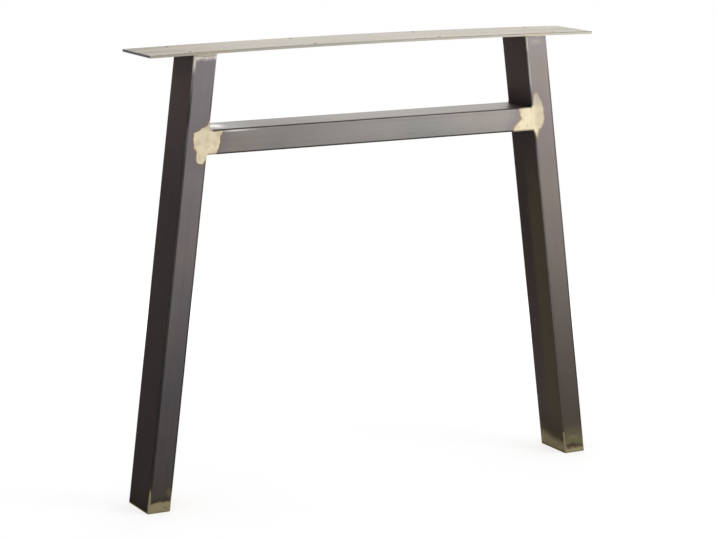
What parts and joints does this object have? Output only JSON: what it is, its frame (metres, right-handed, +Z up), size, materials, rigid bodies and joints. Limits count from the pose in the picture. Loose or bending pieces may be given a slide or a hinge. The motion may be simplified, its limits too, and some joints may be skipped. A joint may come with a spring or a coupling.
{
  "type": "table frame",
  "caption": "Welded steel table end frame: two leaning rectangular-tube legs, a crossbar between them and a flat drilled mounting plate on top.",
  "frame": {"origin": "on the floor, midway between the two feet and midway through their depth", "axes": "+X along the mounting plate to the right seen from the front, +Y from front to back, +Z up"},
  "size_m": [0.7948, 0.108, 0.711],
  "materials": {
    "tube_steel": "bare, dark, satin",
    "plate_steel": "bare, pale, satin, with fine lengthwise streaks",
    "ground_steel": "ground back to straw-coloured metal",
    "weld_metal": "bare weld metal, partly ground flush"
  },
  "bodies": {
    "root": {"mounting_plate": "plate_steel", "crossbar": "tube_steel", "leg_left": "tube_steel", "leg_right": "tube_steel", "foot_cap_left": "ground_steel", "foot_cap_right": "ground_steel", "plate_weld_left": "weld_metal", "plate_weld_right": "weld_metal", "crossbar_weld_left": "weld_metal", "crossbar_weld_right": "weld_metal"}
  },
  "joints": []
}
